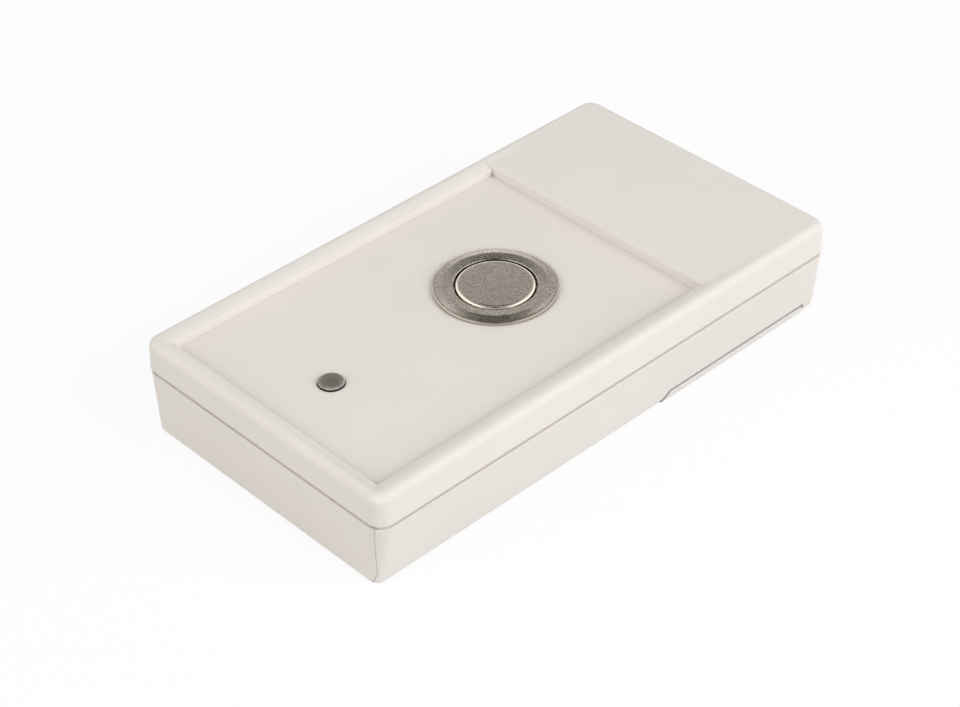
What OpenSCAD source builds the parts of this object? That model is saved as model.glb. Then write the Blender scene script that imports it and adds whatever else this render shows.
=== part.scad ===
// Wireless call button: a flat plastic box with a metal push-button, a small lamp,
// a transmitter board and two AA cells under a lid in the base.
// Millimetres. X runs across the box, Y along it towards the battery end, Z up from the table.
// The origin is the middle of the base.

/* [Housing] */
// Overall length of the box
body_l = 107; // [98:0.1:117]
// Width of the box at the parting line
body_w = 59; // [54:0.1:65]
// Overall height of the box
body_h = 18.5; // [17:0.1:20]
// Height of the upper shell above the parting line
upper_h = 6.1; // [5.9:0.1:6.5]
// Wall thickness of both shells
wall = 1.8; // [1.6:0.05:1.85]
// How far each long side of the lower shell leans in at the base
lower_lean = 1.6; // [1.2:0.1:1.8]
// How far each long side of the upper shell leans in at the top
upper_lean = 0.4; // [0.1:0.1:0.6]
// How far each end of the lower shell leans in at the base
end_lean = 0.1; // [0:0.05:0.2]
// Plan radius of the corners from the parting line up
corner_r = 2.6; // [2.2:0.1:3]
// Plan radius of the corners at the base
base_corner_r = 1.6; // [1.4:0.1:2.4]
// Rounding of the top edge
top_edge_r = 1.3; // [0.8:0.1:1.5]
// Rounding of the base edge
base_edge_r = 0.7; // [0.6:0.1:1.2]
// Open groove at the parting line
parting_gap = 0.8; // [0.3:0.05:0.85]
// Step in of the lower shell at the parting line
parting_step = 0.1; // [0:0.05:0.15]
// Height of the lip that rises from the lower shell
lip_h = 1.2; // [0.8:0.1:1.4]
// Thickness of that lip
lip_t = 1.2; // [0.8:0.05:1.3]
// Clearance between parts that slide together
fit = 0.1; // [0.08:0.01:0.14]

/* [Recess] */
// Depth of the recess floor below the top
recess_depth = 2; // [1.8:0.05:2.1]
// Distance from each long side to the recess
recess_side_rim = 4.2; // [4:0.1:4.8]
// Distance from the front face to the recess
recess_front_rim = 3.5; // [3.2:0.1:4]
// Length of the raised platform beyond the two cells
platform_room = 1.3; // [1.1:0.1:2]
// Height of the sloped land round the recess
land_rise = 0.7; // [0.4:0.05:0.8]
// Width of the sloped land
land_run = 1.7; // [1.2:0.1:1.8]
// Rounding of the platform edge over the recess
step_edge_r = 0.4; // [0.2:0.05:0.6]
// Thickness of the wall between recess and platform
step_wall = 1.4; // [1.2:0.05:1.5]

/* [Push-button] */
// Diameter of the bezel
bezel_d = 22; // [20:0.1:24]
// Width of the bezel ring in plan, from its bore to its rim
bezel_ring_w = 3.7; // [3.4:0.05:3.8]
// Overhang of the bezel beyond the bushing
bezel_overhang = 1.55; // [1.4:0.05:1.7]
// Width of the sloped outer face of the bezel
bezel_slope_w = 1.75; // [0.9:0.05:1.9]
// Width of the steeper band beside the crest
bezel_band_w = 0.36; // [0.24:0.02:0.5]
// Height of that band
bezel_band_h = 0.09; // [0.04:0.01:0.12]
// Height of the upright rim of the bezel
bezel_edge_h = 0.6; // [0.5:0.02:0.76]
// Rounding of the rim
bezel_rim_r = 0.25; // [0.1:0.05:0.3]
// Height of the bezel crest over the recess floor, before rounding
bezel_crest_h = 0.9; // [0.86:0.02:1.3]
// Rounding of the crest
bezel_crest_r = 0.8; // [0.6:0.1:1.6]
// Height of the inner edge of the bezel dish
bezel_dish_h = 0.8; // [0.75:0.05:0.95]
// Gap round the cap
cap_gap = 0.3; // [0.15:0.01:0.35]
// Height of the cap top over the recess floor
cap_h = 0.9; // [0.85:0.05:1.4]
// Rounding of the cap edge
cap_edge_r = 0.55; // [0.2:0.05:0.6]
// Travel of the cap
cap_travel = 1; // [0.6:0.1:1]
// Diameter of the plunger
plunger_d = 6; // [5:0.1:6.4]
// Wire of the return spring
spring_wire = 0.6; // [0.5:0.05:0.7]
// Wall of the nut at its flats
nut_wall = 1.55; // [1.4:0.05:2]

/* [Lamp and board] */
// Diameter of the lamp
led_d = 4.5; // [4.4:0.02:4.8]
// Clearance round the lamp
led_gap = 0.08; // [0.06:0.01:0.15]
// Height of the lamp over the recess floor
led_proud = 0.7; // [0.3:0.05:0.8]
// Rounding of the lamp edge
led_edge_r = 0.25; // [0.1:0.01:0.3]
// Distance from the front face to the lamp
led_front = 16.1; // [15.8:0.1:16.4]
// Thickness of the circuit board
board_t = 1.6; // [1.4:0.1:1.6]
// Height of the board posts from the base
board_z = 5; // [4.9:0.05:5.1]
// Diameter of the insulated wires
wire_d = 1.2; // [1:0.05:1.25]

/* [Battery compartment] */
// Room over the cells, which sets their diameter
cell_room = 0.7; // [0.6:0.05:1]
// Length of a compressed contact spring
spring_l = 1.7; // [1.5:0.1:2.2]
// Length of the nub of a cell
nub_l = 1; // [0.9:0.05:1.05]
// Thickness of the contact plates
contact_t = 0.4; // [0.3:0.02:0.4]
// Length of the lid beyond the two cells
lid_room = 8.4; // [8.2:0.1:8.8]
// Run of the slanted front end of the lid
lid_slant = 2.2; // [1.8:0.1:2.3]
// Distance from the rear face to the lid
lid_rear = 4.3; // [4.2:0.05:4.35]
// Gap between lid and shell
lid_gap = 0.38; // [0.15:0.01:0.4]
// Gap at the slanted front end of the lid, along the box
lid_end_gap = 0.75; // [0.3:0.05:0.8]
// How far the lid edge stands out
lid_proud = 0.2; // [0.05:0.05:0.25]

/* [Hidden] */
$fn = 96;
hl = body_l / 2;
hw = body_w / 2;
cell_d = body_h - 2 * wall - cell_room;
parting_z = body_h - upper_h;
floor_z = body_h - recess_depth;
slab_z = floor_z - wall;
roof_z = body_h - wall;
lower_top = parting_z - parting_gap / 2;
inner_front = -hl + wall + parting_step + end_lean;
recess_y0 = -hl + recess_front_rim;
recess_y1 = hl - 2 * cell_d - platform_room;
recess_hw = hw - recess_side_rim;
lip_top = parting_z + lip_h;
upper_in = hw - upper_lean - wall;
upper_in_l = hl - wall;

post_z = 7;
post_r = 2.6;
boss_r = 3.5;
screw_r = 1.25;
screw_head_r = 2.5;
screw_head_h = 1.8;
screw_seat = 3.4;
screw_top = slab_z - 2.2;
lid_y1 = hl - lid_rear;
lid_front = lid_y1 - 2 * cell_d - lid_room;
case_screw_x = hw - 7;
case_screw_y = lid_front - boss_r - 1.4;
case_screw_at = [for (s = [-1, 1], y = [-hl + 8.1, case_screw_y]) [s * case_screw_x, y]];

panel_hw = hw - 1.7;
panel_back = inner_front + 0.1;
panel_gap = 0.05;
rib_t = 1;
panel_rib_x = hw - 4.9;
panel_top = parting_z - 1.4;

bezel_r = bezel_d / 2;
bush_r = bezel_r - bezel_overhang;
bush_z = 5;
bush_hole_r = bush_r + 0.15;
bore_r = bezel_r - bezel_ring_w;
cap_r = bore_r - cap_gap;
ledge_z = floor_z - 1.6;
chamber_r = bush_r - 1.15;
cap_flange_r = chamber_r - fit;
cap_flange_z = ledge_z - 1.6;
cap_roof_z = floor_z + cap_h - 1.5;
cap_pocket_r = plunger_d / 2 + 2.3;
plunger_r = plunger_d / 2;
base_z = 4.5;
base_top = 6.2;
pad_top = base_top + 0.7;
bridge_z = pad_top + cap_travel + 0.1;
bridge_t = 0.4;
web_z = bridge_z + bridge_t + 1.2;
web_t = 0.8;
web_top = web_z + web_t;
coil_r = plunger_r + 1.4;
terminal_x = 3.5;
nut_t = 2.1;
nut_af = 2 * (bush_r + nut_wall);

led_r = led_d / 2;
led_y = hl - led_front;
led_crown_h = 0.12;
led_tip = floor_z + led_proud;
board_top = board_z + board_t;
led_base = board_top + 1.5;
board_y0 = -hl + 12;
board_y1 = -bush_r - 3.55;
board_l = board_y1 - board_y0;
board_hw = hw - 4;
board_screw_x = hw - 8;
board_screw_at = [for (s = [-1, 1], y = [board_y0 + 3.5, board_y1 - 3.5]) [s * board_screw_x, y]];
wire_end_y = board_y1 - 2.6;
shield_w = 14;
shield_l = 11;
shield_h = 2.8;
shield_x = -hw + 18.5;
shield_y = board_y0 + 0.46 * board_l;

lid_t = wall - lid_gap;
sill_y = lid_y1 + lid_gap + 0.13;
lid_top_y = lid_front + lid_slant;
ledge_top = wall + 1.6;
partition_t = 1.2;
cell_r = cell_d / 2;
cell_z = wall + cell_r;
cell_pitch = cell_d + 0.3;
rear_y = hl - wall - 0.5 - cell_r;
front_y = rear_y - cell_pitch;
ledge_y1 = front_y - cell_r - 0.7;
plate_z = 4.7;
plate_x = lower_hw(plate_z) - wall - contact_t - 0.06;
bump_h = 0.4;
cell_plus_x = plate_x - bump_h - nub_l;
cell_minus_x = plate_x - spring_l;
cell_l = cell_plus_x + cell_minus_x;
battery_wire_r = 0.25;
tab_y = ledge_y1 - partition_t - 0.6;
plus_tab_z = slab_z - 1.1;
minus_tab_z = slab_z - 3.2;
tab_h = 1.4;

// Half width, half length and corner radius of the lower shell at a height
function lower_hw(z) = hw - parting_step - lower_lean * (1 - z / parting_z);
function lower_hl(z) = hl - parting_step - end_lean * (1 - z / parting_z);
function lower_r(z) = base_corner_r + (corner_r - base_corner_r) * z / parting_z;
function upper_hw(z) = hw - upper_lean * (z - parting_z) / (body_h - parting_z);

// One level outline of a box with rounded corners
function ring(a, b, r, z) = [
    for (c = [0:3], i = [0:8])
        let (t = 90 * c + 11.25 * i)
        let (sx = (c == 0 || c == 3) ? 1 : -1)
        let (sy = (c < 2) ? 1 : -1)
        [sx * (a - r) + r * cos(t), sy * (b - r) + r * sin(t), z]
];
function flat(points) = [for (p = points) [p[0], p[1]]];

// Solid through a stack of outlines with the same number of points
module loft(rings) {
    n = len(rings[0]);
    m = len(rings);
    points = [for (r = rings, p = r) p];
    sides = [
        for (k = [0:m - 2], i = [0:n - 1])
            let (a = k * n + i, b = k * n + (i + 1) % n)
            each [[a, a + n, b + n], [a, b + n, b]]
    ];
    bottom = [for (i = [0:n - 1]) i];
    top = [for (i = [n - 1:-1:0]) (m - 1) * n + i];
    polyhedron(points = points, faces = concat([bottom], sides, [top]), convexity = 4);
}

// Round tube along a route, in triangles
function unit(v) = v / norm(v);
function route_dirs(p) = [
    for (i = [0:len(p) - 1])
        unit(p[min(i + 1, len(p) - 1)] - p[max(i - 1, 0)])
];
function carry(n, t, k) = k < len(t) ? unit(n - (n * t[k]) * t[k]) : n;
function route_normals(t, n0) = [
    for (i = 0, n = unit(n0 - (n0 * t[0]) * t[0]); i < len(t); n = carry(n, t, i + 1), i = i + 1) n
];
module tube(path, r, sides, n0) {
    t = route_dirs(path);
    u = route_normals(t, n0);
    loft([
        for (i = [0:len(path) - 1])
            let (v = cross(t[i], u[i]))
            [for (k = [0:sides - 1]) path[i] + r * (cos(360 * k / sides) * u[i] + sin(360 * k / sides) * v)]
    ]);
}
// Corners of a route cut twice, ends kept
function cut_once(p) = concat(
    [p[0]],
    [for (i = [0:len(p) - 2]) each [p[i] * 0.75 + p[i + 1] * 0.25, p[i] * 0.25 + p[i + 1] * 0.75]],
    [p[len(p) - 1]]
);
function smooth(p) = cut_once(cut_once(p));

// Prism from an outline in X and Z, between two Y values
module across_y(y0, y1, outline) {
    translate([0, y1, 0])
        rotate([90, 0, 0])
            linear_extrude(height = y1 - y0)
                polygon(outline);
}
// Prism from an outline in Y and Z, between two X values
module across_x(x0, x1, outline) {
    translate([x0, 0, 0])
        rotate([90, 0, 90])
            linear_extrude(height = x1 - x0)
                polygon(outline);
}
module box(x0, x1, y0, y1, z0, z1) {
    translate([x0, y0, z0])
        cube([x1 - x0, y1 - y0, z1 - z0]);
}
module rod(x, y, z0, z1, r) {
    translate([x, y, z0])
        cylinder(h = z1 - z0, r = r);
}

// Outer form of the lower shell, grown outwards by a little for the lid
module lower_form(grow, edge, top) {
    loft(concat(
        [
            for (t = [0:30:90])
                let (z = edge * (1 - cos(t)), i = edge * (1 - sin(t)) - grow)
                ring(lower_hw(z) - i, lower_hl(z) - i, max(lower_r(z) - i, 0.4), z)
        ],
        [ring(lower_hw(top) + grow, lower_hl(top) + grow, lower_r(top) + grow, top)]
    ));
}
// Outer form of the upper shell with its rounded top edge
module upper_form() {
    loft(concat(
        [ring(hw, hl, corner_r, parting_z + parting_gap / 2)],
        [
            for (t = [0:15:90])
                let (z = body_h - top_edge_r * (1 - sin(t)), i = top_edge_r * (1 - cos(t)))
                ring(upper_hw(z) - i, hl - i, corner_r - i, z)
        ]
    ));
}
// Space inside the lower shell
module lower_space() {
    a = lower_hw(wall) - wall;
    b = lower_hl(wall) - wall;
    c = lower_hw(parting_z) - wall;
    d = lower_hl(parting_z) - wall;
    loft([
        [[a, -b, wall], [a, b, wall], [-a, b, wall], [-a, -b, wall]],
        [[c, -d, parting_z], [c, d, parting_z], [-c, d, parting_z], [-c, -d, parting_z]]
    ]);
    box(-c, c, -d, d, parting_z - 0.01, lip_top + 1);
}
// Outline of the lip at the parting line
module lip_outline(extra) {
    i = parting_step + wall - lip_t - extra;
    polygon(flat(ring(hw - i, hl - i, corner_r - i, 0)));
}
// Front panel outline in X and Z
function panel_outline(extra, top) = [
    [-panel_hw - extra, top],
    [-panel_hw + 0.3 - extra, 2.3],
    [-panel_hw + 1.15 - extra, -0.1],
    [panel_hw - 1.15 + extra, -0.1],
    [panel_hw - 0.3 + extra, 2.3],
    [panel_hw + extra, top]
];
// Side view of the space the lid takes in the shell
function lid_outline(above, before) =
    let (s = lid_slant / lid_t, y = lid_front - before, z = lid_t + above)
    [[y - s, -1], [lid_y1, -1], [lid_y1, z], [y + s * z, z]];

module upper_shell() {
    color([0.87, 0.85, 0.82])
    difference() {
        union() {
            difference() {
                upper_form();
                box(-upper_in, upper_in, -upper_in_l, upper_in_l, parting_z - 1, slab_z);
                box(-upper_in, upper_in, recess_y1 + step_wall, upper_in_l, slab_z - 1, roof_z);
                translate([0, 0, parting_z - 1])
                    linear_extrude(height = lip_h + 1)
                        lip_outline(fit);
            }
            for (p = case_screw_at)
                rod(p[0], p[1], post_z, slab_z + 0.5, post_r);
            // Ribs over the cells
            for (x = [-14, 14])
                difference() {
                    let (y0 = recess_y1 + step_wall + 1, y1 = upper_in_l - 0.4)
                    box(x - 0.6, x + 0.6, y0, y1, parting_z + 0.5, roof_z + 0.3);
                    for (y = [front_y, rear_y])
                        translate([x - 2, y, cell_z])
                            rotate([0, 90, 0])
                                cylinder(h = 4, r = cell_r + 0.3);
                }
        }
        // Recess floor with upright walls
        box(-recess_hw, recess_hw, recess_y0, recess_y1, floor_z, body_h + 1);
        // Sloped land on three sides
        let (z0 = body_h - land_rise, k = land_run / land_rise, up = 0.2)
        let (a = recess_hw, b = a + land_run + k * up, c = recess_y0 - land_run - k * up, z1 = body_h + up)
        loft([
            [[a, recess_y0, z0], [a, recess_y1, z0], [-a, recess_y1, z0], [-a, recess_y0, z0]],
            [[b, c, z1], [b, recess_y1, z1], [-b, recess_y1, z1], [-b, c, z1]]
        ]);
        rod(0, 0, slab_z - 1, floor_z + 1, bush_hole_r);
        rod(0, -led_y, slab_z - 1, floor_z + 1, led_r + led_gap);
        // Rounded platform edge between the side walls of the recess
        let (r = step_edge_r, x = recess_hw, y = recess_y1, z = body_h)
        across_x(-x, x, concat(
            [[y - 0.1, z + 0.1], [y - 0.1, z - r]],
            [for (t = [0:15:90]) [y + r * (1 - cos(t)), z - r * (1 - sin(t))]],
            [[y + r, z + 0.1]]
        ));
        for (p = case_screw_at)
            rod(p[0], p[1], post_z - 1, screw_top + 0.7, screw_r + 0.04);
    }
}

module lower_shell() {
    color([0.86, 0.84, 0.81])
    difference() {
        union() {
            difference() {
                union() {
                    lower_form(0, base_edge_r, lower_top);
                    translate([0, 0, lower_top - 1])
                        linear_extrude(height = lip_top - lower_top + 1)
                            lip_outline(0);
                }
                lower_space();
            }
            for (p = case_screw_at)
                rod(p[0], p[1], wall - 0.5, post_z, boss_r);
            for (p = board_screw_at)
                rod(p[0], p[1], wall - 0.5, board_z, 2.5);
            // Upright ribs that hold the front panel
            for (s = [-1, 1])
                let (x0 = s * panel_rib_x, z1 = parting_z - 0.6)
                let (x1 = s * (lower_hw(wall) - wall + 0.4), x2 = s * (lower_hw(z1) - wall + 0.4))
                across_y(panel_back, panel_back + rib_t, s > 0
                    ? [[x0, wall - 0.3], [x1, wall - 0.3], [x2, z1], [x0, z1]]
                    : [[x0, z1], [x2, z1], [x1, wall - 0.3], [x0, wall - 0.3]]);
            // Raised floor over the front of the lid
            let (a = lower_hw(wall) - wall + 0.4)
            box(-a, a, lid_front - 1, ledge_y1, wall, ledge_top);
            // Wall in front of the cells
            let (a = lower_hw(wall) - wall + 0.4, z1 = parting_z - 0.8, b = lower_hw(z1) - wall + 0.4)
            let (c = upper_in - 0.5, z2 = slab_z - 0.3)
            across_y(ledge_y1 - partition_t, ledge_y1,
                [[-a, wall], [a, wall], [b, z1], [c, z1], [c, z2], [-c, z2], [-c, z1], [-b, z1]]);
            // Shelves under the contact plates
            for (s = [-1, 1])
                let (x0 = s * (plate_x - 0.3), x1 = s * (lower_hw(plate_z - 1.3) - wall + 0.4))
                box(min(x0, x1), max(x0, x1), front_y - 5.4, rear_y + 5.4, plate_z - 1.3, plate_z);
        }
        // Front opening
        across_y(-hl - 1, panel_back, panel_outline(panel_gap, lip_top + 1));
        // Floor groove for the panel
        let (x = panel_rib_x + 1.4, y = panel_back + rib_t)
        box(-x, x, y + 0.1, y + 1.3, 0.9, wall + 0.1);
        // Lid space
        across_x(-hw, hw, [
            for (i = [0:3])
                let (p = lid_outline(lid_gap, lid_end_gap)[i])
                (i == 1 || i == 2) ? [sill_y, p[1]] : p
        ]);
        // Slot for the lid latch
        box(-5, 5, lid_top_y + 0.15, lid_top_y + 2.3, 1, ledge_top + 1);
        // Pockets for the lid tabs
        for (s = [-1, 1])
            box(s * 15 - 4.4, s * 15 + 4.4, sill_y - 0.1, hl - wall - 0.25, wall - 0.2, wall + 1);
        // Notch for the contact tabs
        let (z0 = minus_tab_z - tab_h / 2 - 0.4)
        box(plate_x - 1, lower_hw(z0) - wall, ledge_y1 - partition_t - 1, ledge_y1 + 0.1, z0, slab_z);
        for (p = case_screw_at) {
            rod(p[0], p[1], -1, screw_seat, screw_head_r + 0.2);
            rod(p[0], p[1], 1, post_z + 1, screw_r + 0.2);
        }
        for (p = board_screw_at)
            rod(p[0], p[1], wall + 0.2, board_z + 1, 1.04);
    }
}

module front_panel() {
    color([0.85, 0.83, 0.8])
    union() {
        intersection() {
            lower_form(0, base_edge_r, lower_top);
            across_y(-hl - 1, panel_back - 0.05, panel_outline(0, parting_z + 2));
        }
        // Lip that carries on the lip of the lower shell
        intersection() {
            translate([0, 0, lower_top - 1])
                linear_extrude(height = lip_top - 0.05 - lower_top + 1)
                    lip_outline(0);
            box(-panel_hw + 1.2, panel_hw - 1.2, -hl, panel_back - 0.05, lower_top - 1, lip_top);
        }
        // Web and rear flange that slide down behind the ribs
        let (x = panel_rib_x - 0.3, y = panel_back + rib_t + 0.5)
        box(-x, x, panel_back - 0.5, y, wall + 0.1, panel_top);
        let (x = panel_rib_x + 1, y = panel_back + rib_t + 0.2)
        box(-x, x, y, y + 1, 1, panel_top);
    }
}

module battery_lid() {
    color([0.86, 0.84, 0.81])
    difference() {
        union() {
            intersection() {
                lower_form(lid_proud, 0.4, lid_t + 2);
                across_x(-hw, hw, lid_outline(0, 0));
            }
            // Tabs at the rear
            for (s = [-1, 1]) {
                box(s * 15 - 4, s * 15 + 4, lid_y1 - 1.3, lid_y1 - 0.2, lid_t - 0.3, wall + 0.9);
                box(s * 15 - 4, s * 15 + 4, lid_y1 - 0.8, lid_y1 + 1.4, wall + 0.15, wall + 0.9);
            }
            // Rib between the cells
            let (y = (front_y + rear_y) / 2)
            box(-18, 18, y - 0.5, y + 0.5, lid_t - 0.3, wall + 2.2);
            // Latch finger
            box(-4.5, 4.5, lid_top_y + 0.7, lid_top_y + 1.7, lid_t - 0.3, ledge_top + 1.2);
        }
        // Finger grip
        for (i = [0:3])
            box(-7, 7, lid_top_y + 1.5 + 1.7 * i, lid_top_y + 2.3 + 1.7 * i, -1, 0.4);
    }
}

module case_screws() {
    color([0.6, 0.6, 0.62])
    for (p = case_screw_at)
        difference() {
            union() {
                rod(p[0], p[1], screw_seat - screw_head_h, screw_seat, screw_head_r);
                rod(p[0], p[1], screw_seat - 0.1, screw_top, screw_r);
            }
            box(p[0] - 1.3, p[0] + 1.3, p[1] - 0.25, p[1] + 0.25, 0, screw_seat - screw_head_h + 0.9);
            box(p[0] - 0.25, p[0] + 0.25, p[1] - 1.3, p[1] + 1.3, 0, screw_seat - screw_head_h + 0.9);
        }
}

// Section of the bezel face, from the rounded rim over the crest to the inner edge
function bezel_face() =
    let (p = [bore_r + 0.1, floor_z + bezel_dish_h], q = [bezel_r, floor_z + bezel_edge_h])
    let (c = [bezel_r - bezel_slope_w, floor_z + bezel_crest_h])
    let (m = c + [bezel_band_w, -bezel_band_h])
    let (a = atan2(c[1] - p[1], c[0] - p[0]), b = atan2(bezel_band_h, bezel_band_w))
    let (r = min(bezel_crest_r, 0.9 * bezel_band_w / tan((a + b) / 2)), t = r * tan((a + b) / 2))
    let (o = c + t * [cos(b), -sin(b)] - r * [sin(b), cos(b)])
    let (d = atan2(m[1] - q[1], q[0] - m[0]))
    let (r2 = bezel_rim_r, o2 = q - [r2, r2 * tan(45 - d / 2)])
    concat(
        [for (i = [0:5]) let (k = 90 + (d - 90) * i / 5) o2 + r2 * [sin(k), cos(k)]],
        [m],
        [for (i = [0:7]) let (k = -b + (a + b) * i / 7) o + r * [-sin(k), cos(k)]],
        [p]
    );

module button_bezel() {
    color([0.62, 0.6, 0.56])
    rotate_extrude()
        polygon(concat(
            [
                [bore_r, ledge_z],
                [chamber_r, ledge_z],
                [chamber_r, bush_z],
                [bush_r, bush_z],
                [bush_r, floor_z],
                [bush_r + 0.3, floor_z],
                [bush_r + 0.3, floor_z + 0.3],
                [bezel_r - 0.4, floor_z + 0.3],
                [bezel_r - 0.4, floor_z],
                [bezel_r, floor_z]
            ],
            bezel_face(),
            [[bore_r, floor_z + bezel_dish_h - 0.1]]
        ));
}

module panel_gasket() {
    color([0.08, 0.08, 0.08])
    difference() {
        rod(0, 0, floor_z, floor_z + 0.3, bezel_r - 0.5);
        rod(0, 0, floor_z - 1, floor_z + 1, bush_r + 0.4);
    }
}

module panel_nut() {
    color([0.62, 0.62, 0.62])
    difference() {
        translate([0, 0, slab_z - nut_t])
            cylinder(h = nut_t, r = nut_af / sqrt(3), $fn = 6);
        rod(0, 0, slab_z - nut_t - 1, slab_z + 1, bush_r + 0.05);
    }
}

module button_cap() {
    r = cap_edge_r;
    z = floor_z + cap_h;
    color([0.64, 0.62, 0.58])
    rotate_extrude()
        polygon(concat(
            [
                [0, cap_roof_z],
                [cap_pocket_r, cap_roof_z],
                [cap_pocket_r, cap_flange_z],
                [cap_flange_r, cap_flange_z],
                [cap_flange_r, ledge_z - 0.1],
                [cap_r, ledge_z - 0.1]
            ],
            [for (t = [0:15:90]) [cap_r - r * (1 - cos(t)), z - r * (1 - sin(t))]],
            [[0, z]]
        ));
}

module button_plunger() {
    color([0.12, 0.12, 0.13])
    union() {
        rod(0, 0, bridge_z + bridge_t, cap_roof_z, plunger_r);
        rod(0, 0, bridge_z - 0.3, bridge_z + bridge_t + 0.5, 1);
    }
}

module moving_contact() {
    color([0.8, 0.66, 0.36])
    difference() {
        rod(0, 0, bridge_z, bridge_z + bridge_t, 5);
        rod(0, 0, bridge_z - 1, bridge_z + 1, 1.03);
    }
}

module return_spring() {
    turns = 4;
    z0 = web_top + spring_wire / 2 + 0.05;
    z1 = cap_roof_z - spring_wire / 2 - 0.05;
    color([0.66, 0.66, 0.68])
    tube([
        for (i = [0:8 * turns])
            [coil_r * cos(45 * i), coil_r * sin(45 * i), z0 + (z1 - z0) * i / (8 * turns)]
    ], spring_wire / 2, 6, [1, 0, 0]);
    echo(return_spring_gap = (z1 - z0) / turns - spring_wire);
}

module switch_housing() {
    color([0.14, 0.14, 0.15])
    difference() {
        rod(0, 0, base_top, web_top, chamber_r - 0.1);
        rod(0, 0, base_top - 1, web_z, chamber_r - 1.3);
        rod(0, 0, web_z - 1, web_top + 1, plunger_r + 0.08);
    }
}

module switch_base() {
    color([0.16, 0.15, 0.15])
    difference() {
        rod(0, 0, base_z, base_top, chamber_r - 0.1);
        for (s = [-1, 1])
            box(s * terminal_x - 1.25, s * terminal_x + 1.25, -0.3, 0.3, base_z - 1, base_top + 1);
    }
}

module switch_terminals() {
    color([0.78, 0.72, 0.55])
    for (s = [-1, 1])
        union() {
            box(s * terminal_x - 1.2, s * terminal_x + 1.2, -0.25, 0.25, 2.9, base_top + 0.3);
            rod(s * terminal_x, 0, base_top, pad_top, 1.4);
        }
}

module circuit_board() {
    color([0.1, 0.32, 0.16])
    difference() {
        box(-board_hw, board_hw, board_y0, board_y1, board_z, board_top);
        for (p = board_screw_at)
            rod(p[0], p[1], board_z - 1, board_top + 1, 1.15);
        for (s = [-1, 1])
            rod(s * 1.27, -led_y, board_z - 1, board_top + 1, 0.45);
    }
}

module board_screws() {
    color([0.62, 0.62, 0.64])
    for (p = board_screw_at)
        difference() {
            union() {
                rod(p[0], p[1], board_top, board_top + 1.3, 2);
                rod(p[0], p[1], wall + 0.6, board_top + 0.1, 1);
            }
            box(p[0] - 1.1, p[0] + 1.1, p[1] - 0.2, p[1] + 0.2, board_top + 0.7, board_top + 2);
            box(p[0] - 0.2, p[0] + 0.2, p[1] - 1.1, p[1] + 1.1, board_top + 0.7, board_top + 2);
        }
}

module led_lens() {
    r = led_edge_r;
    z = led_tip - led_crown_h;
    color([0.35, 0.32, 0.29])
    translate([0, -led_y, 0])
        rotate_extrude()
            polygon(concat(
                [
                    [0, led_base],
                    [led_r + 0.4, led_base],
                    [led_r + 0.4, led_base + 1],
                    [led_r, led_base + 1]
                ],
                [for (t = [0:22.5:90]) [led_r - r * (1 - cos(t)), z - r * (1 - sin(t))]],
                [for (k = [0.75, 0.5, 0.25, 0]) [k * (led_r - r), led_tip - led_crown_h * k * k]]
            ));
}

module led_leads() {
    color([0.7, 0.7, 0.72])
    for (s = [-1, 1])
        box(s * 1.27 - 0.25, s * 1.27 + 0.25, -led_y - 0.25, -led_y + 0.25, board_z - 1.2, led_base);
}

module microcontroller() {
    z0 = board_top + 0.15;
    y0 = board_y0 + 0.52 * board_l;
    color([0.09, 0.09, 0.1])
    union() {
        box(6, 14.6, y0 - 1.9, y0 + 1.9, z0, z0 + 1.5);
        for (i = [0:6], s = [-1, 1])
            let (x = 10.3 + 1.2 * (i - 3), y = y0 + s * 2.3)
            box(x - 0.2, x + 0.2, y - 0.6, y + 0.6, board_top, z0 + 0.6);
    }
}

module radio_chip() {
    color([0.1, 0.1, 0.11])
    box(shield_x - 2, shield_x + 2, shield_y - 2, shield_y + 2, board_top, board_top + 1);
}

module radio_shield() {
    t = 0.3;
    x = shield_w / 2;
    y = shield_l / 2;
    color([0.72, 0.72, 0.74])
    translate([shield_x, shield_y, board_top])
        difference() {
            box(-x, x, -y, y, 0, shield_h);
            box(-x + t, x - t, -y + t, y - t, -1, shield_h - t);
        }
}

module crystal() {
    x = 10.5;
    y = board_y1 - 4.5;
    l = 6.4;
    r = 2.3;
    h = 3.4;
    color([0.75, 0.75, 0.77])
    translate([x, y, board_top])
        union() {
            box(-l / 2, l / 2, -r, r, 0, h);
            rod(-l / 2, 0, 0, h, r);
            rod(l / 2, 0, 0, h, r);
        }
}

module antenna_coil() {
    turns = 9;
    r = 2;
    w = 0.35;
    y = board_y1 - 3.6;
    z = board_top + 3;
    x0 = -board_screw_x + 4;
    pitch = 1.8;
    x1 = x0 + pitch * turns;
    color([0.72, 0.42, 0.22])
    tube(concat(
        [[x0, y - 1.6, board_top], [x0, y - 1.6, board_top + 0.6], [x0, y - 0.9, z - r]],
        [
            for (i = [0:8 * turns])
                [x0 + pitch * i / 8, y + r * sin(45 * i), z - r * cos(45 * i)]
        ],
        [[x1, y + 0.9, z - r], [x1, y + 1.6, board_top + 0.6], [x1, y + 1.6, board_top]]
    ), w, 6, [1, 0, 0]);
    echo(antenna_gap = pitch - 2 * w);
}

module capacitor() {
    r = 3.15;
    h = slab_z - board_top - 1.3;
    color([0.15, 0.17, 0.24])
    translate([hw - 12.5, board_y0 + 0.3 * board_l, board_top])
        union() {
            cylinder(h = h - 0.2, r = r);
            cylinder(h = h, r = r - 0.45);
        }
}

module chip_resistors() {
    places = [[4.3, 4.4], [4.3, 2.4], [4.3, 0.4], [-6, -0.1], [-9.5, -0.1]];
    color([0.13, 0.12, 0.12])
    for (p = places)
        translate([p[0] - 1, p[1] - led_y - 0.6, board_top])
            cube([2, 1.2, 0.55]);
}

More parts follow.
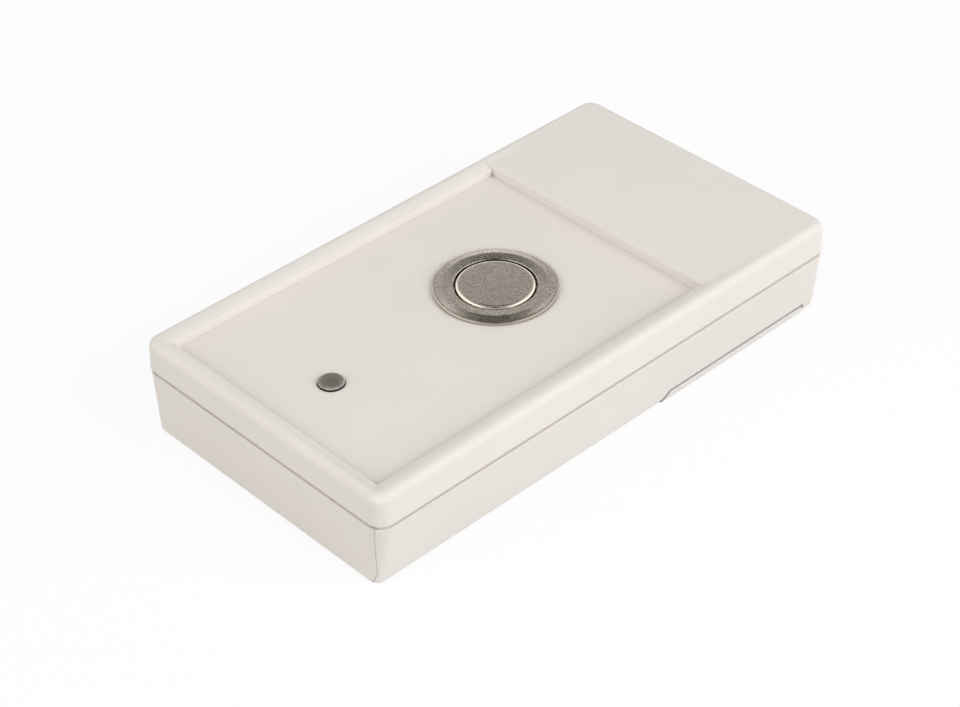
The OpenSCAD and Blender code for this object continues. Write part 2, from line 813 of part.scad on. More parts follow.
module switch_wires() {
    r = wire_d / 2;
    z = 3.7;
    color([0.75, 0.12, 0.1])
    for (s = [-1, 1])
        let (x = s * terminal_x, y = wire_end_y)
        tube(concat(
            [[x, -0.25, z], [x, -1.6, z]],
            smooth([[x, -2, z], [x, -7, 3.1], [x, y + 2, 3], [x, y, 3], [x, y, 3.9]]),
            [[x, y, board_z]]
        ), r, 8, [1, 0, 0]);
}

// Route of a battery wire from its contact tab to the underside of the board
module battery_wire(z, mid, x_end) {
    x = plate_x + contact_t / 2;
    tube(concat(
        [[x, tab_y, z], [x, tab_y - 1.3, z]],
        smooth(concat([[x, tab_y - 1.7, z]], mid, [[x_end, wire_end_y, 3], [x_end, wire_end_y, 3.9]])),
        [[x_end, wire_end_y, board_z]]
    ), wire_d / 2, 8, [0, 0, 1]);
}

module positive_wire() {
    x = case_screw_x - 4;
    color([0.75, 0.12, 0.1])
    battery_wire(plus_tab_z, [
        [plate_x - 1.5, tab_y - 4.6, plus_tab_z - 0.6],
        [x, tab_y - 7, plus_tab_z - 4.6],
        [x - 1.9, case_screw_y - 3.5, 4.6],
        [x - 2.7, -6, 3],
        [11.4, wire_end_y + 2.6, 3]
    ], 11);
}

module negative_wire() {
    x = case_screw_x - 6.1;
    color([0.08, 0.08, 0.08])
    battery_wire(minus_tab_z, [
        [plate_x - 1.5, tab_y - 3.8, minus_tab_z - 0.7],
        [x, tab_y - 7, minus_tab_z - 5.1],
        [x - 2, case_screw_y - 3.5, 3.4],
        [x - 3.2, -6, 3],
        [8.4, wire_end_y + 2.6, 3]
    ], 8);
}

// Cell along X with its nub towards positive X, standing at the origin
module cell() {
    rotate([0, 90, 0])
        rotate_extrude()
            polygon([
                [0, -cell_minus_x],
                [cell_r - 0.5, -cell_minus_x],
                [cell_r, -cell_minus_x + 0.5],
                [cell_r, cell_plus_x - 0.5],
                [cell_r - 0.5, cell_plus_x],
                [2.75, cell_plus_x],
                [2.75, cell_plus_x + nub_l - 0.2],
                [2.5, cell_plus_x + nub_l],
                [0, cell_plus_x + nub_l]
            ]);
}

module battery_front() {
    color([0.2, 0.22, 0.26])
    translate([0, front_y, cell_z])
        mirror([1, 0, 0])
            cell();
}

module battery_rear() {
    color([0.2, 0.22, 0.26])
    translate([0, rear_y, cell_z])
        cell();
}

// Flat button of a contact plate, at positive X
module contact_bump(y) {
    translate([plate_x - bump_h, y, cell_z])
        rotate([0, 90, 0])
            cylinder(h = bump_h + 0.1, r = 2.4);
}

module bridge_contact() {
    color([0.74, 0.74, 0.76])
    mirror([1, 0, 0])
        union() {
            box(plate_x, plate_x + contact_t, front_y - 5, rear_y + 5, plate_z, slab_z - 1.1);
            contact_bump(front_y);
        }
}

module positive_contact() {
    color([0.74, 0.74, 0.76])
    union() {
        box(plate_x, plate_x + contact_t, rear_y - 5, rear_y + 5, plate_z, plus_tab_z + tab_h / 2);
        box(plate_x, plate_x + contact_t, tab_y, rear_y, plus_tab_z - tab_h / 2, plus_tab_z + tab_h / 2);
        contact_bump(rear_y);
    }
}

module negative_contact() {
    color([0.74, 0.74, 0.76])
    union() {
        box(plate_x, plate_x + contact_t, front_y - 5, front_y + 5, plate_z, minus_tab_z + tab_h / 2);
        box(plate_x, plate_x + contact_t, tab_y, front_y, minus_tab_z - tab_h / 2, minus_tab_z + tab_h / 2);
    }
}

// Cone spring between a plate and the flat end of a cell, at positive X
module cone_spring(y) {
    turns = 2.5;
    n = 8 * turns;
    x0 = plate_x - battery_wire_r - 0.02;
    x1 = cell_minus_x + battery_wire_r + 0.02;
    tube([
        for (i = [0:n])
            let (r = 4.6 - 2.8 * i / n)
            [x0 + (x1 - x0) * i / n, y + r * sin(45 * i), cell_z + r * cos(45 * i)]
    ], battery_wire_r, 6, [1, 0, 0]);
    echo(cone_spring_gap = norm([(x0 - x1) / turns, 2.8 / turns]) - 2 * battery_wire_r);
}

module bridge_spring() {
    color([0.7, 0.7, 0.72])
    mirror([1, 0, 0])
        cone_spring(rear_y);
}

module negative_spring() {
    color([0.7, 0.7, 0.72])
    cone_spring(front_y);
}

upper_shell();
lower_shell();
front_panel();
battery_lid();
case_screws();
button_bezel();
panel_gasket();
panel_nut();
button_cap();
button_plunger();
moving_contact();
return_spring();
switch_housing();
switch_base();
switch_terminals();
circuit_board();
board_screws();
led_lens();
led_leads();
microcontroller();
radio_chip();
radio_shield();
crystal();
antenna_coil();
capacitor();
chip_resistors();
switch_wires();
positive_wire();
negative_wire();
battery_front();
battery_rear();
bridge_contact();
positive_contact();
negative_contact();
bridge_spring();
negative_spring();
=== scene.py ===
"""Looks of the wireless call button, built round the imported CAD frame. Metres."""
import math

import bmesh
import bpy
from mathutils import Matrix, Vector


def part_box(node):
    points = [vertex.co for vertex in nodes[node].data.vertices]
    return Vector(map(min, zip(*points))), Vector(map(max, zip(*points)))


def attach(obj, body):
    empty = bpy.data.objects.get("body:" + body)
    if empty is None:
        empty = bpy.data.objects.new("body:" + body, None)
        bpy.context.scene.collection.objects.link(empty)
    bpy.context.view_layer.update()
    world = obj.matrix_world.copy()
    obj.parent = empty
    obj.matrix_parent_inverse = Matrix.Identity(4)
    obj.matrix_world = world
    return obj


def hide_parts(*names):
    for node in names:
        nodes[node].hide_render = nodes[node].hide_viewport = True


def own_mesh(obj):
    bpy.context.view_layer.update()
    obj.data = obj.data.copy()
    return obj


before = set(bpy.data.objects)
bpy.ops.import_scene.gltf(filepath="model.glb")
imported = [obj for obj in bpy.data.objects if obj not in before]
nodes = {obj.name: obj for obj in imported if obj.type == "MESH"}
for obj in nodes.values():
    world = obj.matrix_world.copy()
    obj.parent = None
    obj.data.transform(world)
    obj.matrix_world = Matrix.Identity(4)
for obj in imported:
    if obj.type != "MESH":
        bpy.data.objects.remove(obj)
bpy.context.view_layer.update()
scene = bpy.context.scene
scene.view_settings.view_transform = "Standard"
MM = 0.001

# Camera solved from the edges in the photograph, for a 960 x 707 frame
FRAME_W = 960
FOCAL_PX = 2451.974
AZIMUTH, ELEVATION, ROLL = (math.radians(a) for a in (46.675, 37.791, -0.913))
DISTANCE, OFFSET_X, OFFSET_Y = 430.846 * MM, -2.877 * MM, 1.735 * MM
SENSOR = 36.0
CLIP_START = 0.01
# From the object to the camera, and level to the camera's right
BACK = Vector((
    math.sin(AZIMUTH) * math.cos(ELEVATION),
    -math.cos(AZIMUTH) * math.cos(ELEVATION),
    math.sin(ELEVATION),
))
RIGHT = Vector((math.cos(AZIMUTH), math.sin(AZIMUTH), 0.0))


def add_camera():
    up = BACK.cross(RIGHT)
    side = math.cos(ROLL) * RIGHT + math.sin(ROLL) * up
    top = -math.sin(ROLL) * RIGHT + math.cos(ROLL) * up
    data = bpy.data.cameras.new("camera")
    data.sensor_fit = "HORIZONTAL"
    data.sensor_width = SENSOR
    data.lens = FOCAL_PX * SENSOR / FRAME_W
    data.clip_start = CLIP_START
    obj = bpy.data.objects.new("camera", data)
    turn = Matrix((side, top, BACK)).transposed().to_4x4()
    place = BACK * DISTANCE + side * OFFSET_X + top * OFFSET_Y
    obj.matrix_world = Matrix.Translation(place) @ turn
    scene.collection.objects.link(obj)
    scene.camera = obj


# Most values of a noise texture lie between these
NOISE_LOW, NOISE_HIGH = 0.3, 0.7
# Rays that feel for edges and grooves
EDGE_SAMPLES = 8


class Graph:
    """Short forms for building a node tree."""

    def __init__(self, tree):
        self.tree = tree
        tree.nodes.clear()

    def add(self, kind, **settings):
        node = self.tree.nodes.new(kind)
        for key, value in settings.items():
            setattr(node, key, value)
        return node

    def put(self, socket, value):
        if isinstance(value, bpy.types.NodeSocket):
            self.tree.links.new(value, socket)
        else:
            socket.default_value = value

    def math(self, operation, a, b=0.0):
        node = self.add("ShaderNodeMath", operation=operation)
        self.put(node.inputs[0], a)
        self.put(node.inputs[1], b)
        return node.outputs[0]

    def weigh(self, *shares):
        """Sum of values, each times its share."""
        total = None
        for value, share in shares:
            part = self.math("MULTIPLY", value, share)
            total = part if total is None else self.math("ADD", total, part)
        return total

    def distance(self, value, middle):
        return self.math("ABSOLUTE", self.math("SUBTRACT", value, middle))

    def dot(self, a, b):
        node = self.add("ShaderNodeVectorMath", operation="DOT_PRODUCT")
        self.put(node.inputs[0], a)
        self.put(node.inputs[1], b)
        return node.outputs["Value"]

    def split(self, vector):
        node = self.add("ShaderNodeSeparateXYZ")
        self.put(node.inputs[0], vector)
        return node.outputs

    def radius(self, where, x, y):
        """Distance from an upright axis."""
        xyz = self.split(where)
        dx = self.math("SUBTRACT", xyz[0], x)
        dy = self.math("SUBTRACT", xyz[1], y)
        squares = self.math("ADD", self.math("MULTIPLY", dx, dx), self.math("MULTIPLY", dy, dy))
        return self.math("SQRT", squares)

    def span(self, value, low, high, to_low, to_high):
        node = self.add("ShaderNodeMapRange", clamp=True)
        for i, number in enumerate((value, low, high, to_low, to_high)):
            self.put(node.inputs[i], number)
        return node.outputs[0]

    def vary(self, noise, low, high):
        """A number that follows a noise texture."""
        return self.span(noise, NOISE_LOW, NOISE_HIGH, low, high)

    def ramp(self, value, stops, smooth=False):
        node = self.add("ShaderNodeValToRGB")
        self.put(node.inputs["Fac"], value)
        ramp = node.color_ramp
        ramp.interpolation = "EASE" if smooth else "LINEAR"
        while len(ramp.elements) < len(stops):
            ramp.elements.new(1.0)
        for element, (position, colour) in zip(ramp.elements, stops):
            element.position = position
            shade = colour if isinstance(colour, tuple) else (colour,) * 3
            element.color = (*shade, 1.0)
        return node.outputs["Color"]

    def shade(self, noise, dark, light):
        """A colour that follows a noise texture."""
        return self.ramp(noise, [(NOISE_LOW, dark), (NOISE_HIGH, light)])

    def noise(self, where, size, detail=2.0, rough=0.5):
        node = self.add("ShaderNodeTexNoise")
        self.put(node.inputs["Vector"], where)
        node.inputs["Scale"].default_value = 1.0 / size
        node.inputs["Detail"].default_value = detail
        node.inputs["Roughness"].default_value = rough
        return node.outputs["Fac"]

    def cells(self, where, size, **settings):
        node = self.add("ShaderNodeTexVoronoi", **settings)
        self.put(node.inputs["Vector"], where)
        node.inputs["Scale"].default_value = 1 / size
        return node.outputs

    def blend(self, factor, a, b):
        node = self.add("ShaderNodeMix", data_type="RGBA", blend_type="MIX")
        self.put(node.inputs[0], factor)
        for socket, value in ((node.inputs[6], a), (node.inputs[7], b)):
            self.put(socket, (*value, 1.0) if isinstance(value, tuple) else value)
        return node.outputs[2]

    def mix_shaders(self, factor, a, b):
        node = self.add("ShaderNodeMixShader")
        for socket, value in zip(node.inputs, (factor, a.outputs[0], b.outputs[0])):
            self.put(socket, value)
        return node

    def bump(self, height, depth, under=None):
        node = self.add("ShaderNodeBump")
        node.inputs["Strength"].default_value = 1.0
        node.inputs["Distance"].default_value = depth
        self.put(node.inputs["Height"], height)
        if under is not None:
            self.put(node.inputs["Normal"], under)
        return node.outputs["Normal"]

    def soft_normal(self, radius):
        """Normal that rounds the sharp edges off by a radius."""
        bevel = self.add("ShaderNodeBevel", samples=EDGE_SAMPLES)
        self.put(bevel.inputs["Radius"], radius)
        return bevel.outputs["Normal"]


def new_material(name):
    material = bpy.data.materials.new(name)
    material.use_nodes = True
    graph = Graph(material.node_tree)
    output = graph.add("ShaderNodeOutputMaterial")
    shader = graph.add("ShaderNodeBsdfPrincipled")
    graph.put(output.inputs["Surface"], shader.outputs["BSDF"])
    where = graph.add("ShaderNodeTexCoord").outputs["Object"]
    return material, graph, shader, where


def tint(colour, factor):
    return tuple(min(1.0, c * factor) for c in colour)


# Painted highlights along the edges and painted shade in the grooves of the outer mouldings
EDGE_RADIUS, GROOVE_REACH = 0.3 * MM, 0.9 * MM
# How much lighter the painted highlight makes the edges
EDGE_HIGHLIGHT_TINT = 1.26
# Grey of the painted shade in grooves and corners, and how much of it is laid on
GROOVE_SHADE_COLOUR, GROOVE_SHADE_SHARE = (0.36, 0.355, 0.35), 0.7
# Cosine of the normal's turn where an edge starts and where it is full
EDGE_TURN = (0.985, 0.9)
# Open share of the surroundings over which edges come in, and over which grooves go out
OPEN_EDGE, OPEN_GROOVE = (0.55, 0.75), (0.2, 0.55)
# Sizes of the slow changes in tone, gloss and polish
TONE_SIZE, GLOSS_SIZE, POLISH_SIZE = 18 * MM, 4 * MM, 3 * MM


def edge_masks(g):
    """One mask that is 1 along convex edges, for a painted highlight, and one that is 1 in grooves
    and corners, for painted shade.
    """
    face = g.add("ShaderNodeNewGeometry").outputs["Normal"]
    turned = g.span(g.dot(g.soft_normal(EDGE_RADIUS), face), *EDGE_TURN, 0.0, 1.0)
    open_sky = g.add("ShaderNodeAmbientOcclusion", samples=EDGE_SAMPLES)
    open_sky.inputs["Distance"].default_value = GROOVE_REACH
    clear = g.span(open_sky.outputs["AO"], *OPEN_EDGE, 0.0, 1.0)
    # Mask for painted shade, 1 where the surroundings are closed in
    groove_shade = g.span(open_sky.outputs["AO"], *OPEN_GROOVE, 1.0, 0.0)
    return g.math("MULTIPLY", turned, clear), groove_shade


def moulding(
    name, colour, spread=0.02, rough=(0.4, 0.52), grain=0.3 * MM, depth=0.004 * MM,
    specular=0.5, edge=0.0,
):
    """Moulded plastic: broad tone drift, uneven gloss, a fine grain, and on request a painted
    highlight along edges and painted shade in grooves.
    """
    material, g, shader, where = new_material(name)
    drift = g.noise(where, TONE_SIZE, 3.0)
    fine = g.noise(where, grain, 2.0, 0.6)
    tone = g.weigh((drift, 0.7), (fine, 0.3))
    base = g.shade(tone, tint(colour, 1 - spread), tint(colour, 1 + spread))
    patch = g.noise(where, GLOSS_SIZE, 3.0)
    rounded = None
    if edge:
        edge_highlight, groove_shade = edge_masks(g)
        # Painted highlight: convex edges made lighter
        base = g.blend(g.math("MULTIPLY", edge_highlight, edge), base, tint(colour, EDGE_HIGHLIGHT_TINT))
        # Painted shade: grooves and corners made greyer and darker
        base = g.blend(g.math("MULTIPLY", groove_shade, GROOVE_SHADE_SHARE), base, GROOVE_SHADE_COLOUR)
        rounded = g.soft_normal(EDGE_RADIUS)
    g.put(shader.inputs["Base Color"], base)
    g.put(shader.inputs["Roughness"], g.vary(patch, *rough))
    shader.inputs["Specular IOR Level"].default_value = specular
    g.put(shader.inputs["Normal"], g.bump(fine, depth, rounded))
    return material


def metal(name, colour, rough=(0.25, 0.38), grain=0.25 * MM, depth=0.003 * MM, spread=0.08):
    """Plated or bright metal with fine grain and uneven polish."""
    material, g, shader, where = new_material(name)
    fine = g.noise(where, grain, 3.0, 0.6)
    patch = g.noise(where, POLISH_SIZE, 3.0)
    tone = g.weigh((patch, 0.5), (fine, 0.5))
    base = g.shade(tone, tint(colour, 1 - spread), tint(colour, 1 + spread))
    g.put(shader.inputs["Base Color"], base)
    shader.inputs["Metallic"].default_value = 1.0
    g.put(shader.inputs["Roughness"], g.vary(patch, *rough))
    g.put(shader.inputs["Normal"], g.bump(fine, depth))
    return material


# Bands of the push-button by radius: polished (from, to, brightness), eased (at, reach, rounding)
BEZEL_POLISHED = [(10.78 * MM, 11.1 * MM, 1.1)]
BEZEL_EASED = [(9.25 * MM, 0.7 * MM, 0.4 * MM), (11 * MM, 0.3 * MM, 0.25 * MM)]
CAP_POLISHED = [(6.5 * MM, 7.1 * MM, 1.9)]
CAP_EASED = [(6.9 * MM, 0.7 * MM, 0.4 * MM)]
POLISHED_FADE, POLISHED_ROUGH = 0.06 * MM, 0.4
EASED_FADE, EASED_LEAST = 0.2 * MM, 0.02 * MM
NICKEL_GRAIN, NICKEL_PATCH, TURNED_PITCH = 0.17 * MM, 1.1 * MM, 0.12 * MM
NICKEL_DEPTH, TURNED_DEPTH = 0.0018 * MM, 0.0006 * MM
NICKEL_ROUGH = (0.13, 0.22)
NICKEL_SPREAD = 0.38


def button_metal(name, colour, polished, eased):
    """Satin nickel with a speckled grain, faint turned marks, polished bands and eased edges."""
    material, g, shader, where = new_material(name)
    fine = g.noise(where, NICKEL_GRAIN, 2.0, 0.65)
    speckle = g.split(g.cells(where, NICKEL_GRAIN)["Color"])[0]
    patch = g.noise(where, NICKEL_PATCH, 4.0, 0.65)
    radius = g.radius(where, 0.0, 0.0)
    turned = g.add("ShaderNodeTexNoise", noise_dimensions="1D")
    g.put(turned.inputs["W"], g.math("DIVIDE", radius, TURNED_PITCH))
    turned.inputs["Scale"].default_value = 1.0
    turned.inputs["Detail"].default_value = 2.0
    marks = turned.outputs["Fac"]
    tone = g.weigh((patch, 0.15), (fine, 0.35), (marks, 0.1), (speckle, 0.4))
    base = g.shade(tone, tint(colour, 1 - NICKEL_SPREAD), tint(colour, 1 + NICKEL_SPREAD))
    shader.inputs["Metallic"].default_value = 1.0
    rough = g.vary(tone, *NICKEL_ROUGH)
    for low, high, shine in polished:
        middle, half = (low + high) / 2, (high - low) / 2
        band = g.span(g.distance(radius, middle), half, half + POLISHED_FADE, 1.0, 0.0)
        base = g.blend(band, base, tint(colour, shine))
        rough = g.math("MULTIPLY", rough, g.span(band, 0.0, 1.0, 1.0, POLISHED_ROUGH))
    g.put(shader.inputs["Base Color"], base)
    g.put(shader.inputs["Roughness"], rough)
    softness = EASED_LEAST
    for edge, reach, amount in eased:
        near = g.span(g.distance(radius, edge), reach, reach + EASED_FADE, amount, 0.0)
        softness = g.math("MAXIMUM", softness, near)
    grainy = g.bump(fine, NICKEL_DEPTH, g.soft_normal(softness))
    g.put(shader.inputs["Normal"], g.bump(marks, TURNED_DEPTH, grainy))
    return material


# Lamp: radius of its top, and how far under the top the painted shade on its side begins and is
# full
LENS_RADIUS = 2.25 * MM
SIDE_SHADE_BEGINS, SIDE_SHADE_FULL = 0.3 * MM, 0.42 * MM
# Colour of the painted shade on the lens's side
LENS_SIDE_SHADE = (0.006, 0.005, 0.004)
# Top of the lens by share of its radius: smoky in the middle, with a painted highlight lighter
# towards the rim
LENS_TOP_WITH_RIM_HIGHLIGHT = [
    (0.0, (0.122, 0.104, 0.087)),
    (0.65, (0.14, 0.121, 0.102)),
    (0.9, (0.22, 0.19, 0.165)),
    (1.0, (0.42, 0.38, 0.34)),
]
LENS_ROUGH, LENS_IOR = (0.2, 0.32), 1.5
CLOUD_SIZE, CLOUD_SHIFT = 0.7 * MM, 0.9 * MM
RIPPLE_SIZE, RIPPLE_DEPTH = 0.4 * MM, 0.002 * MM


def lamp_lens(name):
    """Smoky lens, clouded on top, with a painted highlight lighter towards the rim of its top and
    painted shade on its upright side.
    """
    material, g, shader, where = new_material(name)
    low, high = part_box("led_lens")
    radius = g.radius(where, (low[0] + high[0]) / 2, (low[1] + high[1]) / 2)
    cloud = g.noise(where, CLOUD_SIZE, 4.0, 0.6)
    height = g.split(where)[2]
    cloudy = g.math("MULTIPLY", g.math("SUBTRACT", cloud, 0.5), CLOUD_SHIFT)
    share = g.math("DIVIDE", g.math("ADD", radius, cloudy), LENS_RADIUS)
    # Painted highlight: the top gets lighter towards its rim
    top = g.ramp(share, LENS_TOP_WITH_RIM_HIGHLIGHT, True)
    side = g.span(height, high[2] - SIDE_SHADE_FULL, high[2] - SIDE_SHADE_BEGINS, 1.0, 0.0)
    # Painted shade laid over the upright side of the lens
    g.put(shader.inputs["Base Color"], g.blend(side, top, LENS_SIDE_SHADE))
    g.put(shader.inputs["Roughness"], g.vary(cloud, *LENS_ROUGH))
    shader.inputs["IOR"].default_value = LENS_IOR
    g.put(shader.inputs["Normal"], g.bump(g.noise(where, RIPPLE_SIZE), RIPPLE_DEPTH))
    return material


# Board: tracks, with the edge as a share of their spacing, and the mask over them
TRACK_SPACING, TRACK_EDGE, TRACK_HEIGHT = 2.6 * MM, (0.06, 0.1), 0.03 * MM
TRACK_COLOUR = (0.03, 0.2, 0.07)
MASK_DARK, MASK_LIGHT = (0.012, 0.085, 0.03), (0.02, 0.12, 0.045)
MASK_SIZE, MASK_ROUGH = 6 * MM, (0.25, 0.4)


def solder_mask(name):
    """Green board with slightly raised tracks under the mask."""
    material, g, shader, where = new_material(name)
    tracks = g.cells(where, TRACK_SPACING, feature="DISTANCE_TO_EDGE", distance="MANHATTAN")
    tracks = g.span(tracks["Distance"], *TRACK_EDGE, 1.0, 0.0)
    drift = g.noise(where, MASK_SIZE, 3.0)
    mask = g.shade(drift, MASK_DARK, MASK_LIGHT)
    g.put(shader.inputs["Base Color"], g.blend(tracks, mask, TRACK_COLOUR))
    g.put(shader.inputs["Roughness"], g.vary(drift, *MASK_ROUGH))
    g.put(shader.inputs["Normal"], g.bump(tracks, TRACK_HEIGHT))
    return material


# Along a cell from its middle: where the paler band starts, and where the sleeve ends
BAND_FROM, SLEEVE_TO, SLEEVE_FADE = 15.9 * MM, 23.5 * MM, 0.1 * MM
BAND_COLOUR = (0.36, 0.3, 0.2)
SLEEVE_DARK, SLEEVE_LIGHT = (0.05, 0.055, 0.065), (0.07, 0.075, 0.088)
SLEEVE_SIZE, SLEEVE_ROUGH = 5 * MM, (0.26, 0.38)
STEEL_DARK, STEEL_LIGHT = (0.5, 0.5, 0.5), (0.6, 0.6, 0.6)
STEEL_GRAIN, STEEL_DEPTH = 0.2 * MM, 0.002 * MM


def cell_sleeve(name, plus_side):
    """Plain dark sleeve with a paler band and bare steel ends."""
    material, g, shader, where = new_material(name)
    along = g.math("MULTIPLY", g.split(where)[0], plus_side)
    drift = g.noise(where, SLEEVE_SIZE, 3.0)
    fine = g.noise(where, STEEL_GRAIN, 2.0)
    dark = g.shade(drift, SLEEVE_DARK, SLEEVE_LIGHT)
    band = g.span(along, BAND_FROM, BAND_FROM + 2 * SLEEVE_FADE, 0.0, 1.0)
    ends = g.span(g.math("ABSOLUTE", along), SLEEVE_TO, SLEEVE_TO + SLEEVE_FADE, 0.0, 1.0)
    steel = g.shade(fine, STEEL_DARK, STEEL_LIGHT)
    g.put(shader.inputs["Base Color"], g.blend(ends, g.blend(band, dark, BAND_COLOUR), steel))
    g.put(shader.inputs["Metallic"], ends)
    g.put(shader.inputs["Roughness"], g.vary(drift, *SLEEVE_ROUGH))
    g.put(shader.inputs["Normal"], g.bump(fine, STEEL_DEPTH))
    return material


SHELL = (0.772, 0.72, 0.667)
NICKEL = (0.45, 0.405, 0.35)
BLACK = (0.02, 0.02, 0.021)
RUBBER = (0.018, 0.018, 0.018)
RESIN = (0.015, 0.015, 0.016)

# The shell gets a painted highlight along its edges and painted shade in its grooves and corners
shell = moulding("shell_plastic", SHELL, rough=(0.46, 0.58), specular=0.28, edge=0.6)
zinc = metal("zinc_plate", (0.52, 0.53, 0.55), (0.3, 0.45))
bright_wire = metal("bright_wire", (0.56, 0.56, 0.57), (0.18, 0.28), 0.1 * MM)
tinned = metal("tin_plate", (0.58, 0.58, 0.58), (0.28, 0.42))
nickel = metal("nickel_plate", (0.6, 0.58, 0.55), (0.2, 0.32))
brass = metal("contact_brass", (0.62, 0.46, 0.2), (0.2, 0.34))
copper = metal("bare_copper", (0.58, 0.26, 0.12), (0.2, 0.34), 0.12 * MM)
rubber = moulding("black_rubber", RUBBER, 0.2, (0.65, 0.8), 0.2 * MM, 0.01 * MM, 0.3)
black = moulding("black_moulding", BLACK, 0.15, (0.4, 0.55), 0.2 * MM)
chip = moulding("chip_resin", RESIN, 0.15, (0.5, 0.62), 0.12 * MM, 0.006 * MM)
sleeve = moulding("capacitor_sleeve", (0.02, 0.027, 0.055), 0.12, (0.22, 0.32))
red_wire = moulding("red_insulation", (0.42, 0.025, 0.02), 0.08, (0.3, 0.42), 0.2 * MM)
black_wire = moulding("black_insulation", (0.014, 0.014, 0.014), 0.12, (0.3, 0.42), 0.2 * MM)

FINISH = {
    "upper_shell": shell,
    "lower_shell": shell,
    "front_panel": shell,
    "battery_lid": shell,
    "case_screws": zinc,
    "button_bezel": button_metal("bezel_nickel", NICKEL, BEZEL_POLISHED, BEZEL_EASED),
    "panel_gasket": rubber,
    "panel_nut": zinc,
    "button_cap": button_metal("cap_nickel", NICKEL, CAP_POLISHED, CAP_EASED),
    "button_plunger": black,
    "moving_contact": brass,
    "return_spring": bright_wire,
    "switch_housing": black,
    "switch_base": black,
    "switch_terminals": brass,
    "circuit_board": solder_mask("solder_mask"),
    "board_screws": zinc,
    "led_lens": lamp_lens("smoky_lens"),
    "led_leads": tinned,
    "microcontroller": chip,
    "radio_chip": chip,
    "radio_shield": tinned,
    "crystal": tinned,
    "antenna_coil": copper,
    "capacitor": sleeve,
    "chip_resistors": chip,
    "switch_wires": red_wire,
    "positive_wire": red_wire,
    "negative_wire": black_wire,
    "battery_front": cell_sleeve("cell_sleeve_front", -1.0),
    "battery_rear": cell_sleeve("cell_sleeve_rear", 1.0),
    "bridge_contact": nickel,
    "positive_contact": nickel,
    "negative_contact": nickel,
    "bridge_spring": bright_wire,
    "negative_spring": bright_wire,
}

# Wound and routed pieces, drawn round by subdivision
ROUND = {
    "antenna_coil", "switch_wires", "positive_wire", "negative_wire", "bridge_spring",
    "negative_spring",
}
ROUND_LEVELS = 2
WELD_GAP = 0.0005 * MM
SHARP_ANGLE = math.radians(28)


def dress(name, obj):
    """Gives a CAD node its material, with smooth faces between sharp edges."""
    mesh = obj.data
    mesh.materials.clear()
    mesh.materials.append(FINISH[name])
    mesh.polygons.foreach_set("use_smooth", [True] * len(mesh.polygons))
    if "custom_normal" in mesh.attributes:
        mesh.attributes.remove(mesh.attributes["custom_normal"])
    obj.modifiers.new("weld", "WELD").merge_threshold = WELD_GAP
    if name in ROUND:
        obj.modifiers.new("round", "SUBSURF").render_levels = ROUND_LEVELS
        return
    obj.modifiers.new("sharp", "EDGE_SPLIT").split_angle = SHARP_ANGLE
    obj.modifiers.new("flat", "WEIGHTED_NORMAL").mode = "FACE_AREA"


for node_name, node_object in nodes.items():
    dress(node_name, node_object)

SPRING_TURNS, SPRING_WIRE_RADIUS = 4, 0.3 * MM
STEPS_PER_TURN, WIRE_SIDES = 40, 12


def coil_mesh(name, low, high):
    """Closed tube that winds up an upright axis inside a box."""
    coil = high[0] - SPRING_WIRE_RADIUS
    count = SPRING_TURNS * STEPS_PER_TURN
    rise = (high[2] - low[2] - 2 * SPRING_WIRE_RADIUS) / count
    climb = rise * STEPS_PER_TURN / (2 * math.pi)
    points, faces = [], []
    for i in range(count + 1):
        turn = 2 * math.pi * i / STEPS_PER_TURN
        out = Vector((math.cos(turn), math.sin(turn), 0.0))
        along = Vector((-math.sin(turn) * coil, math.cos(turn) * coil, climb)).normalized()
        across = along.cross(out)
        centre = out * coil + Vector((0.0, 0.0, low[2] + SPRING_WIRE_RADIUS + rise * i))
        for k in range(WIRE_SIDES):
            angle = 2 * math.pi * k / WIRE_SIDES
            spoke = out * math.cos(angle) + across * math.sin(angle)
            points.append(centre + spoke * SPRING_WIRE_RADIUS)
    last = count * WIRE_SIDES
    for ring in range(0, last, WIRE_SIDES):
        for k in range(WIRE_SIDES):
            a, b = ring + k, ring + (k + 1) % WIRE_SIDES
            faces.append((a, a + WIRE_SIDES, b + WIRE_SIDES, b))
    faces.append(tuple(range(WIRE_SIDES)))
    faces.append(tuple(range(last + WIRE_SIDES - 1, last - 1, -1)))
    mesh = bpy.data.meshes.new(name)
    mesh.from_pydata(points, [], faces)
    shape = bmesh.new()
    shape.from_mesh(mesh)
    bmesh.ops.recalc_face_normals(shape, faces=shape.faces)
    shape.to_mesh(mesh)
    shape.free()
    mesh.polygons.foreach_set("use_smooth", [len(face.vertices) == 4 for face in mesh.polygons])
    return mesh


def add_return_spring():
    """The coil of the return spring, drawn in place of the hidden CAD piece and carried by the
    housing.
    """
    low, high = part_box("return_spring")
    mesh = coil_mesh("return_spring_coil", low, high)
    mesh.materials.append(bright_wire)
    spring = bpy.data.objects.new("return_spring_coil", mesh)
    scene.collection.objects.link(spring)
    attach(spring, "housing")
    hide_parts("return_spring")
    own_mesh(spring)


add_return_spring()

FLOOR_HALF, FLOOR_DROP = 3.0, 0.05 * MM
FLOOR_LIT, FLOOR_SEEN = (0.6, 0.6, 0.6), (0.92, 0.92, 0.92)
FLOOR_GLOW = 0.88


